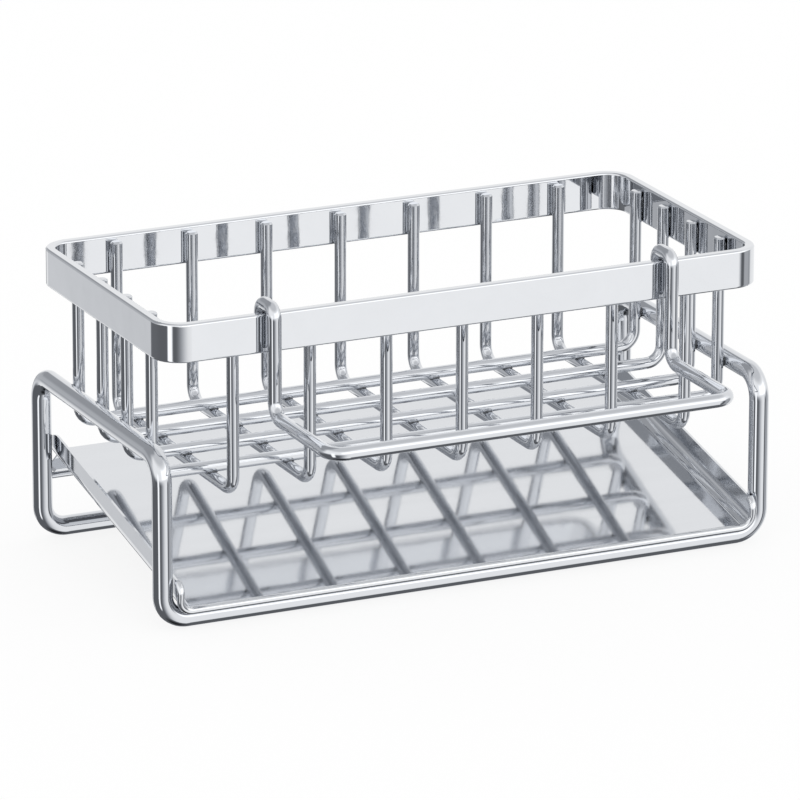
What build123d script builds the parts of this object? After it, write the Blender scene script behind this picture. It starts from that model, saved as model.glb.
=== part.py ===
from build123d import *
import os
from math import asin, atan2, cos, degrees, hypot, radians, sin, tan

# Sink caddy of bright round wire, with a sloping sheet tray under the basket and a cloth rail in front.
# Millimetres. X runs along the length, the front with the cloth rail faces -Y, and Z is up.
# Heights start at the surface that the caddy stands on, and depths at the middle of the wire frame.

# Frame: one loop of thick wire
frame_length = 218.4
frame_depth = 106.3
frame_wire = 6.5
side_rail_z = 56.35
frame_bend = 8.0

# Rim band: flat strip round the mouth of the basket, its short sides in line with the inside of the frame
band_set_back = 0.95
band_thick = 3.3
band_height = 12.8
band_top_z = 100.55
band_corner = 9.8
band_edge_round = 0.8

# Basket wires
basket_wire = 4.0
basket_floor_z = 41.6
basket_bend = 5.5
cross_wires = 7
cross_end_gap = 22.6
long_wires = 4
long_end_gap = 18.75
wire_top_below_band = 1.55
wire_end_bevel = 0.5
weld_depth = 0.5

# Wire between the back legs that the tray stands on
rest_wire = 2.2
rest_wire_z = 21.15

# Tray: one folded sheet that slopes down to its open front
tray_sheet = 0.8
tray_side_gap = 0.55
tray_seat_gap = 0.2
tray_wall = 9.9
tray_corner = 4.8
tray_front_round = 4.5
tray_back_round = 8.3
tray_past_frame = 1.85
tray_bead = 2.5
tray_bead_ahead = 3.9
tray_bead_turn_deg = 70.0
tray_bead_tail = 0.3
tray_hem_height = 5.25
tray_hem_past_wire = 1.1

# Cloth rail: one bent wire with a hook over the band at each end
rail_wire = 4.5
rail_in_from_wire = 10.2
rail_upright_gap = 2.15
rail_reach = 43.4
rail_drop = 32.7
rail_bend = 5.5
hook_gap = 0.35
hook_drop = 9.55

# Values that follow from the sizes above
frame_r = frame_wire / 2
leg_x = frame_length / 2 - frame_r
leg_y = frame_depth / 2 - frame_r
frame_inner_x = leg_x - frame_r
basket_r = basket_wire / 2
band_inner_x = frame_inner_x
band_outer_x = band_inner_x + band_thick
band_outer_y = frame_depth / 2 - band_set_back
band_inner_y = band_outer_y - band_thick
end_wire_x = band_inner_x - cross_end_gap
end_wire_y = band_inner_y - long_end_gap
cross_pitch = 2 * end_wire_x / (cross_wires - 1)
long_pitch = 2 * end_wire_y / (long_wires - 1)
wire_top_z = band_top_z - wire_top_below_band
rest_top_z = rest_wire_z + rest_wire / 2
rail_r = rail_wire / 2
rail_x = end_wire_x - rail_in_from_wire
rail_upright_y = -(band_outer_y + rail_upright_gap + rail_r)
rail_front_y = rail_upright_y - rail_reach
hook_bend = rail_r + hook_gap + band_edge_round

# The tray's floor rests on the front bar, its back hem on the rest wire, and these two set its slope
tray_half = frame_inner_x - tray_side_gap
tray_back_y = frame_depth / 2 + tray_past_frame
hem_foot_z = rest_top_z + tray_seat_gap
floor_back_z = hem_foot_z + tray_hem_height
floor_run = tray_back_y + leg_y
floor_rise = floor_back_z - frame_r
floor_above_bar = frame_r + tray_seat_gap + tray_sheet / 2
slope = atan2(floor_rise, floor_run) - asin(floor_above_bar / hypot(floor_run, floor_rise))
slope_sin = sin(slope)
slope_cos = cos(slope)
bead_y = -(leg_y + tray_bead_ahead)
bead_z = floor_back_z - (tray_back_y - bead_y) * slope_sin / slope_cos

# The part's origin is on the ground under the middle of the whole outline, cloth rail and tray included
outline_front_y = rail_front_y - rail_r
outline_back_y = tray_back_y
to_origin_y = -(outline_front_y + outline_back_y) / 2


def bent_wire(points, bend, diameter):
    """Round wire of straight runs and tangent bends: a rod for each run and part of a ring for each bend."""
    stretches = []
    for run in FilletPolyline(*points, radius=bend).edges():
        section = Plane(origin=run @ 0, z_dir=run % 0) * Circle(diameter / 2)
        if run.geom_type == GeomType.LINE:
            stretches.append(extrude(section, run.length))
        else:
            centre = run.arc_center
            turns_about = Axis(centre, (run @ 0 - centre).cross(run % 0))
            stretches.append(revolve(section, turns_about, degrees(run.length / run.radius)))
    return Part() + stretches


def with_bevelled_ends(wire):
    """Takes the sharp edge off a wire's two cut ends, its only flat faces."""
    return chamfer(wire.faces().filter_by(GeomType.PLANE).edges(), wire_end_bevel)


def frame_loop():
    """Legs, side rails and bottom bars in one closed loop, made as two halves that meet in the bars."""
    low, high = frame_r, side_rail_z
    halves = Part()
    for side in (1, -1):
        x = side * leg_x
        corners = [(x, -leg_y, low), (x, -leg_y, high), (x, leg_y, high), (x, leg_y, low)]
        halves += bent_wire([(0, -leg_y, low)] + corners + [(0, leg_y, low)], frame_bend, frame_wire)
    return halves


def rim_band():
    """Strip on edge, bent to a rounded rectangle, with all its long edges rounded off."""
    outer = RectangleRounded(2 * band_outer_x, 2 * band_outer_y, band_corner)
    inner = RectangleRounded(2 * band_inner_x, 2 * band_inner_y, band_corner - band_thick)
    band = Pos(0, 0, band_top_z - band_height) * extrude(outer - inner, band_height)
    return fillet(band.edges().filter_by(Plane.XY), band_edge_round)


def cross_wire(number):
    """Basket wire from front to back, standing inside the long sides of the band."""
    x = (number - (cross_wires + 1) / 2) * cross_pitch
    y = band_inner_y - basket_r
    z = basket_floor_z
    points = [(x, -y, wire_top_z), (x, -y, z), (x, y, z), (x, y, wire_top_z)]
    return with_bevelled_ends(bent_wire(points, basket_bend, basket_wire))


def long_wire(number):
    """Basket wire along the length, sunk into the cross wires by its welds."""
    x = band_inner_x - basket_r
    y = (number - (long_wires + 1) / 2) * long_pitch
    z = basket_floor_z + basket_wire - weld_depth
    points = [(-x, y, wire_top_z), (-x, y, z), (x, y, z), (x, y, wire_top_z)]
    wire = with_bevelled_ends(bent_wire(points, basket_bend, basket_wire))
    for crossing in range(cross_wires):
        seat = Plane.XZ * Pos(crossing * cross_pitch - end_wire_x, basket_floor_z) * Circle(basket_r)
        wire -= Pos(0, y, 0) * extrude(seat, long_pitch / 2, both=True)
    return wire


def tray_rest_wire(frame):
    """Thin wire between the back legs, its ends cut to the round of the legs."""
    rod = Plane.YZ * Pos(leg_y, rest_wire_z) * Circle(rest_wire / 2)
    return extrude(rod, leg_x - frame_r / 2, both=True) - frame


def on_slope(along, above):
    """Place on the tray, as (y, z): along its slope from the bead, and square above its floor."""
    y = bead_y + along * slope_cos - above * slope_sin
    return y, bead_z + along * slope_sin + above * slope_cos


def tray_trough():
    """Floor, bottom corners and side walls: a U section, cut to the tray's outline from the side."""
    y, z = on_slope(0, 0)
    across = Plane(origin=(0, y, z), x_dir=(1, 0, 0), z_dir=(0, -slope_cos, -slope_sin))
    half_sheet = tray_sheet / 2
    inner_half = tray_half - tray_sheet
    inner_wall = tray_wall - tray_sheet
    outer = RectangleRounded(2 * tray_half, 2 * tray_wall, tray_corner)
    inner = RectangleRounded(2 * inner_half, 2 * inner_wall, tray_corner - tray_sheet)
    above = Pos(0, tray_wall) * Rectangle(2 * tray_half, 2 * tray_wall)
    section = Pos(0, tray_wall - half_sheet) * (outer - inner - above)
    sheet = extrude(across * section, 2 * frame_depth, both=True)
    top = tray_wall - half_sheet
    front_low = on_slope(-half_sheet, -tray_wall)
    front_top = on_slope(-half_sheet, top)
    back_top = (tray_back_y, front_top[1] + (tray_back_y - front_top[0]) * slope_sin / slope_cos)
    side = Polygon(front_low, (tray_back_y, front_low[1]), back_top, front_top, align=None)
    side = fillet(side.vertices().sort_by_distance(front_top)[0], tray_front_round)
    side = fillet(side.vertices().sort_by_distance(back_top)[0], tray_back_round)
    return sheet & extrude(Plane.YZ * side, leg_x, both=True)


def tray_front_bead():
    """Rolled edge along the floor, up the walls and most of the way round their front corners."""
    x = tray_half - tray_sheet / 2
    bead_turn = tray_front_round - tray_sheet / 2
    turn = radians(tray_bead_turn_deg)
    to_bend = bead_turn * tan(turn / 2)
    bend_above = tray_wall - tray_sheet - bead_turn + to_bend
    to_end = to_bend + tray_bead_tail
    places = [(to_end * sin(turn), bend_above + to_end * cos(turn)), (0, bend_above), (0, 0)]
    left = [(-x, *on_slope(*place)) for place in places]
    right = [(-px, py, pz) for px, py, pz in reversed(left)]
    floor_turn = tray_corner - tray_sheet / 2
    return bent_wire(left + right, [bead_turn, floor_turn, floor_turn, bead_turn], tray_bead)


def tray_back_hem():
    """Back edge of the floor, folded down and forward to stand on the rest wire, its ends cut on a slant."""
    lip_y = leg_y - tray_hem_past_wire
    inner_y = tray_back_y - tray_sheet
    inner_z = hem_foot_z + tray_sheet
    foot = (tray_back_y, hem_foot_z)
    lip = [(lip_y, hem_foot_z), (lip_y, inner_z), (inner_y, inner_z)]
    profile = Polygon(foot, *lip, (inner_y, floor_back_z), (tray_back_y, floor_back_z), align=None)
    profile = fillet(profile.vertices().sort_by_distance(foot)[0], tray_sheet)
    flat_half = tray_half - tray_corner
    low = [(-tray_half, hem_foot_z), (tray_half, hem_foot_z)]
    outline = Polygon(*low, (flat_half, floor_back_z), (-flat_half, floor_back_z), align=None)
    hem = extrude(Plane.YZ * profile, tray_half, both=True)
    return hem & extrude(Plane.XZ * outline, frame_depth, both=True)


def cloth_rail():
    """Hook, upright and arm, the front bar, and the same again, in one bent wire."""
    inner_y = hook_gap + rail_r - band_inner_y
    arch_z = band_top_z + hook_gap + rail_r
    tip_z = band_top_z - hook_drop
    rail_z = band_top_z - rail_drop
    left = [
        (-rail_x, inner_y, tip_z),
        (-rail_x, inner_y, arch_z),
        (-rail_x, rail_upright_y, arch_z),
        (-rail_x, rail_upright_y, rail_z),
        (-rail_x, rail_front_y, rail_z),
    ]
    right = [(-px, py, pz) for px, py, pz in reversed(left)]
    bends = [hook_bend, hook_bend, rail_bend, rail_bend]
    return with_bevelled_ends(bent_wire(left + right, bends + bends[::-1], rail_wire))


def save(name, shape):
    """One file for each piece, all in the frame of the whole caddy."""
    export_step(Pos(0, to_origin_y, 0) * shape, os.path.join("parts", name + ".step"))


os.makedirs("parts", exist_ok=True)
frame = frame_loop()
save("frame_loop", frame)
save("tray_rest_wire", tray_rest_wire(frame))
save("rim_band", rim_band())
for number in range(1, cross_wires + 1):
    save(f"cross_wire_{number}", cross_wire(number))
for number in range(1, long_wires + 1):
    save(f"long_wire_{number}", long_wire(number))
save("drip_tray", tray_trough() + tray_front_bead() + tray_back_hem())
save("cloth_rail", cloth_rail())
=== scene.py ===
import math

import bpy
import bmesh
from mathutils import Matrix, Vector


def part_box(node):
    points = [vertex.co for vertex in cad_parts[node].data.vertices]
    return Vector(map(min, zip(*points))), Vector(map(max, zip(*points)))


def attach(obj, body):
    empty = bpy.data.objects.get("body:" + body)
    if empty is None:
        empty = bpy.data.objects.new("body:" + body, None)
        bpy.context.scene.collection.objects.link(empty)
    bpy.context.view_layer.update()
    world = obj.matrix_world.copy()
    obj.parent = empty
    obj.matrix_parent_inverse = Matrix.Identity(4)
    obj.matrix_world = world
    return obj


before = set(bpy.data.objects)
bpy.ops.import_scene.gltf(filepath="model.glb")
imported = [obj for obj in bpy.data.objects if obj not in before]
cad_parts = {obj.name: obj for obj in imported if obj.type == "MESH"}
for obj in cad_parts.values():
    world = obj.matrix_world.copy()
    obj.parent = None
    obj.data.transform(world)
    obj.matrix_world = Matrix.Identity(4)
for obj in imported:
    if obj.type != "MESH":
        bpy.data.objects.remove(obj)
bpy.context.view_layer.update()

# Frame loop. Two legs and a side rail at each end and two bottom bars, all one thick steel wire, bent
# cold and butt welded in the bars. It is ground, polished and chromed in one piece with the basket.
chrome_colour = (0.675, 0.692, 0.722)
wiped_shade = 0.93
scratch_share = 0.02


def add(tree, kind, **inputs):
    """One shader node, with its inputs set by name."""
    node = tree.nodes.new(kind)
    for key, value in inputs.items():
        node.inputs[key].default_value = value
    return node


def join(tree, *steps):
    """Links (node, output) to (node, input), pair by pair."""
    for (source, output), (target, entry) in steps:
        tree.links.new(source.outputs[output], target.inputs[entry])


def maths(tree, operation, *values):
    """One math node on plain numbers and on (node, output) pairs."""
    node = add(tree, "ShaderNodeMath")
    node.operation = operation
    for entry, value in enumerate(values):
        if isinstance(value, tuple):
            join(tree, (value, (node, entry)))
        else:
            node.inputs[entry].default_value = value
    return node


def spread(tree, source, low, high, to_low, to_high):
    """Stretches one range of a (node, output) value onto another and stops at its ends."""
    node = add(tree, "ShaderNodeMapRange")
    for entry, value in zip(("From Min", "From Max", "To Min", "To Max"), (low, high, to_low, to_high)):
        node.inputs[entry].default_value = value
    join(tree, (source, (node, "Value")))
    return node


def between(tree, share, first, second):
    """A colour between two, by a (node, output) share."""
    node = add(tree, "ShaderNodeMix")
    node.data_type = "RGBA"
    node.inputs[6].default_value = (*first, 1.0)
    node.inputs[7].default_value = (*second, 1.0)
    join(tree, (share, (node, 0)))
    return node


def polished(name, colour, smooth, wiped, ripple, grain_along=(1.0, 1.0, 1.0)):
    """Bright metal: faint wipe marks and dried drops in its gloss, and a slight ripple from polishing."""
    metal = bpy.data.materials.new(name)
    metal.use_nodes = True
    tree = metal.node_tree
    skin = tree.nodes["Principled BSDF"]
    skin.inputs["Metallic"].default_value = 1.0
    place = add(tree, "ShaderNodeTexCoord")
    stretch = add(tree, "ShaderNodeMapping", Scale=grain_along)
    wipes = add(tree, "ShaderNodeTexNoise", Scale=55.0, Detail=5.0, Roughness=0.62, Distortion=0.8)
    grain = add(tree, "ShaderNodeTexNoise", Scale=2600.0, Detail=3.0, Roughness=0.6)
    drops = add(tree, "ShaderNodeTexVoronoi", Scale=260.0)
    drops.feature = "DISTANCE_TO_EDGE"
    waves = add(tree, "ShaderNodeTexNoise", Scale=120.0, Detail=1.5, Roughness=0.4)
    join(tree, ((place, "Object"), (stretch, "Vector")), ((stretch, "Vector"), (wipes, "Vector")),
         ((stretch, "Vector"), (grain, "Vector")), ((place, "Object"), (drops, "Vector")),
         ((place, "Object"), (waves, "Vector")))

    gloss = spread(tree, (wipes, "Fac"), 0.45, 0.75, smooth, wiped)
    rings = spread(tree, (drops, "Distance"), 0.0, 0.05, 0.01, 0.0)
    marked = maths(tree, "ADD", (gloss, 0), (rings, 0))
    marked.name = "marked"
    tint = between(tree, (wipes, "Fac"), colour, [wiped_shade * part for part in colour])
    ripples = add(tree, "ShaderNodeBump", Strength=1.0, Distance=ripple)
    scratches = add(tree, "ShaderNodeBump", Strength=1.0, Distance=ripple * scratch_share)
    join(tree, ((marked, 0), (skin, "Roughness")), ((tint, 2), (skin, "Base Color")),
         ((waves, "Fac"), (ripples, "Height")), ((grain, "Fac"), (scratches, "Height")),
         ((ripples, "Normal"), (scratches, "Normal")), ((scratches, "Normal"), (skin, "Normal")))
    return metal


def finish_in(metal, *names):
    """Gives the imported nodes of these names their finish."""
    for name in names:
        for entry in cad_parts[name].material_slots:
            entry.material = metal


wire_chrome = polished("wire_chrome", chrome_colour, smooth=0.015, wiped=0.045, ripple=0.00003)
finish_in(wire_chrome, "frame_loop")

# Tray rest wire. A thin chromed wire that joins the back legs and carries the back of the tray.
# Its ends are resistance welded to the inner faces of the legs.
finish_in(wire_chrome, "tray_rest_wire")

# Rim band. A flat steel strip on edge, bent to a rounded rectangle and butt welded at the back, its edges
# rounded over. Its broad faces are polished flatter than the wires, so they mirror in smooth sweeps.
band_colour = (0.735, 0.75, 0.775)
wear_reach = 0.0005


def edge_wear(tree, reach):
    """Nought on flats and one on edges that hands and sponges rub, by how far the surface turns
    within a small reach."""
    flat, sharp = 0.995, 0.90
    shape = add(tree, "ShaderNodeNewGeometry")
    rounded = add(tree, "ShaderNodeBevel", Radius=reach)
    rounded.samples = 4
    agree = add(tree, "ShaderNodeVectorMath")
    agree.operation = "DOT_PRODUCT"
    join(tree, ((rounded, "Normal"), (agree, 0)), ((shape, "Normal"), (agree, 1)))
    return spread(tree, (agree, "Value"), flat, sharp, 0.0, 1.0)


def blend(tree, share, under, over):
    """Covers a node's value with a plain number, by a share."""
    node = add(tree, "ShaderNodeMix")
    node.inputs[3].default_value = over
    join(tree, ((share, 0), (node, 0)), ((under, 0), (node, 2)))
    return node


def with_worn_edges(metal, worn):
    """Makes a finish duller where the edges are rubbed, in uneven patches."""
    tree = metal.node_tree
    wear = edge_wear(tree, wear_reach)
    patches = add(tree, "ShaderNodeTexNoise", Scale=320.0, Detail=3.0)
    patchy = maths(tree, "MULTIPLY", (wear, 0), (patches, "Fac"))
    dull = blend(tree, patchy, tree.nodes["marked"], worn)
    join(tree, ((dull, 0), (tree.nodes["Principled BSDF"], "Roughness")))
    return metal


band_chrome = polished("band_chrome", band_colour, smooth=0.025, wiped=0.06, ripple=0.00002)
finish_in(with_worn_edges(band_chrome, worn=0.16), "rim_band")

# Cross wires. Seven round wires from front to back, each bent up at both ends and welded to the inside
# of the band. They carry the sponges.
finish_in(wire_chrome, *[f"cross_wire_{number}" for number in range(1, 8)])

# Long wires. Four round wires along the length, laid on the cross wires and welded at each crossing,
# their ends bent up inside the side rails and the band.
finish_in(wire_chrome, *[f"long_wire_{number}" for number in range(1, 5)])

# Welds. Where wires cross or touch, resistance welding has fused them and squeezed a little steel out as
# a thin lumpy collar. The collars are chromed over with the rest and duller than the wires. Their
# near-black colour is painted contact shade where the wires meet, not the colour of the steel.
# Near-black colour of the collars: painted contact shade at the crossings and at the wire ends.
weld_shade_colour = (0.17, 0.175, 0.185)
weld_painted_shade = polished("weld_painted_shade", weld_shade_colour, smooth=0.2, wiped=0.38, ripple=0.00004)
crossing_weld = (0.0018, 0.0018, 0.0004)
band_weld = (0.0036, 0.0012, 0.00028)
rail_weld = (0.0017, 0.0015, 0.00035)
band_weld_lift = 0.0062
rail_radius = 0.00325


def squeeze_out(mesh, centre, normal, along, sizes, bend, lumps):
    """Thin collar round a contact: a flattened lump that follows the gap between two round surfaces."""
    normal, along = Vector(normal), Vector(along)
    across = normal.cross(along)
    half_along, half_across, half_thick = sizes
    rows, around = 7, 20
    rings = []
    for row in range(1, rows):
        tilt = math.pi * row / rows
        ring = []
        for turn in range(around):
            angle = math.tau * turn / around
            lump = 1 + 0.09 * math.sin(3 * angle + lumps) + 0.06 * math.sin(7 * angle + 2.3 * lumps)
            u = half_along * math.sin(tilt) * math.cos(angle) * lump
            v = half_across * math.sin(tilt) * math.sin(angle) * lump
            rise = half_thick * math.cos(tilt) + bend[0] * u * u + bend[1] * v * v
            ring.append(mesh.verts.new(Vector(centre) + along * u + across * v + normal * rise))
        rings.append(ring)
    for upper, lower in zip(rings, rings[1:]):
        for turn in range(around):
            after = (turn + 1) % around
            mesh.faces.new((upper[turn], lower[turn], lower[after], upper[after])).smooth = True
    mesh.faces.new(reversed(rings[-1])).smooth = True
    mesh.faces.new(rings[0]).smooth = True


def middle(name):
    """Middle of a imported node's box, with its lowest and highest corner."""
    low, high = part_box(name)
    return (low + high) / 2, low, high


crosses = [middle(f"cross_wire_{number}") for number in range(1, 8)]
longs = [middle(f"long_wire_{number}") for number in range(1, 5)]
wire_radius = (crosses[0][2].x - crosses[0][1].x) / 2
saddle = 1 / (4 * wire_radius)
rail_saddle = 1 / (4 * rail_radius)
band_weld_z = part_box("rim_band")[0].z + band_weld_lift
rail_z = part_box("frame_loop")[1].z - rail_radius
weld_mesh = bmesh.new()
for cross, cross_low, cross_high in crosses:
    for long, long_low, long_high in longs:
        contact = (cross.x, long.y, (cross_low.z + 2 * wire_radius + long_low.z) / 2)
        squeeze_out(weld_mesh, contact, (0, 0, 1), (1, 0, 0), crossing_weld, (-saddle, saddle),
                    cross.x * 900 + long.y * 700)
    for side, wall in ((-1, cross_low.y), (1, cross_high.y)):
        squeeze_out(weld_mesh, (cross.x, wall, band_weld_z), (0, -side, 0), (0, 0, 1), band_weld,
                    (0, saddle / 2), cross.x * 900 + side)
for long, long_low, long_high in longs:
    for side, wall in ((-1, long_low.x), (1, long_high.x)):
        squeeze_out(weld_mesh, (wall, long.y, band_weld_z), (-side, 0, 0), (0, 0, 1), band_weld,
                    (0, saddle / 2), long.y * 900 + side)
        squeeze_out(weld_mesh, (wall, long.y, rail_z), (-side, 0, 0), (0, 0, 1), rail_weld,
                    (-rail_saddle, saddle), long.y * 500 + side)
bmesh.ops.recalc_face_normals(weld_mesh, faces=weld_mesh.faces)
weld_data = bpy.data.meshes.new("weld_collars_and_shade")
weld_mesh.to_mesh(weld_data)
weld_mesh.free()
# The collars carry the dark material, which is painted contact shade.
weld_data.materials.append(weld_painted_shade)
weld_collars_and_shade = bpy.data.objects.new("weld_collars_and_shade", weld_data)
bpy.context.scene.collection.objects.link(weld_collars_and_shade)
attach(weld_collars_and_shade, "caddy")

# Drip tray. One polished stainless sheet, folded up at the sides, with a rolled front edge and a hem
# behind. It isn't fixed: it rests on the front bar and the rest wire, and slides out to the front.
tray_colour = (0.72, 0.735, 0.76)
along_sheet = (0.12, 1.0, 1.0)
tray_steel = polished("tray_steel", tray_colour, smooth=0.06, wiped=0.09, ripple=0.00001,
                      grain_along=along_sheet)
finish_in(with_worn_edges(tray_steel, worn=0.2), "drip_tray")

# Cloth rail. One bent wire with a hook at each end, which hangs over the front of the band by its
# own weight and lifts off.
finish_in(wire_chrome, "cloth_rail")

# Floor. A pale matt paper sweep, flat under the caddy and rising far away on all sides. It keeps the
# caddy's shadow and makes the background. It is out of sight of the metal, which mirrors the room alone.
floor_radius = 6.0
sweep_rise = 1.4
flat_share = 0.8
below_wires = 0.0001
own_light = 0.86
steps, sides = 40, 96
floor_mesh = bmesh.new()
rings = [[floor_mesh.verts.new((0, 0, -below_wires))]]
for step in range(1, steps + 1):
    along = step / steps
    radius = floor_radius * along ** 2
    climb = max(0.0, along - flat_share) / (1 - flat_share)
    level = sweep_rise * climb ** 2 - below_wires
    angles = [turn * math.tau / sides for turn in range(sides)]
    rings.append([floor_mesh.verts.new((radius * math.cos(angle), radius * math.sin(angle), level))
                  for angle in angles])
for inner, outer in zip(rings, rings[1:]):
    for turn in range(sides):
        after = (turn + 1) % sides
        corners = [inner[turn], outer[turn], outer[after], inner[after]] if len(inner) > 1 \
            else [inner[0], outer[turn], outer[after]]
        floor_mesh.faces.new(corners).smooth = True
floor_data = bpy.data.meshes.new("studio_floor")
floor_mesh.to_mesh(floor_data)
floor_mesh.free()
floor = bpy.data.objects.new("studio_floor", floor_data)
bpy.context.scene.collection.objects.link(floor)
floor.visible_glossy = False
paper = bpy.data.materials.new("studio_paper")
paper.use_nodes = True
tree = paper.node_tree
tree.nodes.clear()
shown = add(tree, "ShaderNodeOutputMaterial")
matt = add(tree, "ShaderNodeBsdfDiffuse", Color=(0.98, 0.98, 0.98, 1.0))
bright = add(tree, "ShaderNodeEmission", Color=(1.0, 1.0, 1.0, 1.0), Strength=1.0)
part_lit = add(tree, "ShaderNodeMixShader")
seen = add(tree, "ShaderNodeLightPath")
mirrored = maths(tree, "MAXIMUM", (seen, "Is Glossy Ray"), (seen, "Is Transmission Ray"))
looked_at = maths(tree, "MAXIMUM", (seen, "Is Camera Ray"), (mirrored, 0))
share = maths(tree, "MULTIPLY", (looked_at, 0), own_light)
join(tree, ((share, 0), (part_lit, 0)), ((matt, 0), (part_lit, 1)), ((bright, 0), (part_lit, 2)),
     ((part_lit, 0), (shown, "Surface")))
floor_data.materials.append(paper)

# Room. The metal mirrors a studio of soft pale walls, a bright strip and grey cards over dark ground. The
# light from each direction is set by its bearing and height. Matt things get plain white light instead.
room = bpy.data.worlds.new("room")
bpy.context.scene.world = room
room.use_nodes = True
tree = room.node_tree
tree.nodes.clear()
outlook = add(tree, "ShaderNodeTexCoord")
parts = add(tree, "ShaderNodeSeparateXYZ")
join(tree, ((outlook, "Generated"), (parts, 0)))
bearing = maths(tree, "ARCTAN2", (parts, "Y"), (parts, "X"))
height = maths(tree, "ARCSINE", (parts, "Z"))


def step_between(value, start, end):
    """Soft rise from nought at start to one at end, both in degrees."""
    low, high = math.radians(min(start, end)), math.radians(max(start, end))
    node = spread(tree, (value, 0), low, high, float(start > end), float(start < end))
    node.interpolation_type = "SMOOTHSTEP"
    return node


def panel(below, level, centre, half, soft_left, soft_right, low, low_soft, high, high_soft):
    """Hangs one soft-edged panel in the room. Its centre is a bearing, and all its angles are degrees."""
    turn = maths(tree, "SUBTRACT", (bearing, 0), math.radians(centre))
    turn = maths(tree, "WRAP", (turn, 0), math.pi, -math.pi)
    mask = step_between(turn, -half - soft_left, -half)
    for edge in (step_between(turn, half + soft_right, half), step_between(height, low - low_soft, low),
                 step_between(height, high + high_soft, high)):
        mask = maths(tree, "MULTIPLY", (mask, 0), (edge, 0))
    return blend(tree, mask, below, level)


straight_down, ground, walls, ceiling = 0.02, 0.15, 1.18, 0.78
tone = spread(tree, (height, 0), math.radians(-82), math.radians(-66), straight_down, ground)
tone = blend(tree, step_between(height, -10, 5), tone, walls)
tone = blend(tree, step_between(height, 32, 60), tone, ceiling)
# The grey wall at the back left, its darker top and the light gap under it.
tone = panel(tone, level=0.58, centre=118, half=24, soft_left=18, soft_right=34,
             low=2, low_soft=22, high=24, high_soft=20)
tone = panel(tone, level=0.42, centre=112, half=30, soft_left=14, soft_right=34,
             low=22, low_soft=14, high=66, high_soft=14)
tone = panel(tone, level=1.0, centre=99, half=6, soft_left=6, soft_right=22,
             low=-32, low_soft=4, high=-20, high_soft=20)
# The bright wall at the back right.
tone = panel(tone, level=1.03, centre=42, half=34, soft_left=18, soft_right=8,
             low=-40, low_soft=10, high=40, high_soft=16)
# The wall at the front right and the light that hangs over it.
tone = panel(tone, level=1.12, centre=-60, half=6, soft_left=64, soft_right=9,
             low=-58, low_soft=8, high=4, high_soft=10)
tone = panel(tone, level=1.6, centre=-66, half=32, soft_left=22, soft_right=20,
             low=8, low_soft=6, high=30, high_soft=12)
# The grey card at the right.
tone = panel(tone, level=0.50, centre=-22, half=8, soft_left=7, soft_right=18,
             low=-46, low_soft=8, high=0, high_soft=12)
# The strip light at the front left.
tone = panel(tone, level=1.5, centre=-150, half=4, soft_left=8, soft_right=10,
             low=-40, low_soft=10, high=10, high_soft=10)

dark_cast, light_cast = (0.93, 0.975, 1.06), (1.0, 1.0, 1.0)
cast = between(tree, (tone, 0), dark_cast, light_cast)
tinted = add(tree, "ShaderNodeVectorMath")
tinted.operation = "SCALE"
light = add(tree, "ShaderNodeBackground", Strength=1.0)
plain = add(tree, "ShaderNodeBackground", Color=(1.0, 1.0, 1.0, 1.0), Strength=1.0)
sight = add(tree, "ShaderNodeLightPath")
choice = add(tree, "ShaderNodeMixShader")
sky = add(tree, "ShaderNodeOutputWorld")
join(tree, ((cast, 2), (tinted, 0)), ((tone, 0), (tinted, "Scale")), ((tinted, 0), (light, "Color")),
     ((sight, "Is Diffuse Ray"), (choice, 0)), ((light, 0), (choice, 1)), ((plain, 0), (choice, 2)),
     ((choice, 0), (sky, "Surface")))

# Camera. A long lens from the front left, a little above the rim. Its place, turn and lens were fitted to
# the edges of the frame and the band.
camera = bpy.data.objects.new("camera", bpy.data.cameras.new("camera"))
bpy.context.scene.collection.objects.link(camera)
camera.data.lens = 328.87
camera.data.sensor_width = 36.0
camera.data.clip_end = 20.0
camera.location = (-0.95992, -2.036847, 0.77046)
camera.rotation_euler = (1.262965, -0.00135, -0.435534)
bpy.context.scene.camera = camera
bpy.context.scene.view_settings.view_transform = "Standard"
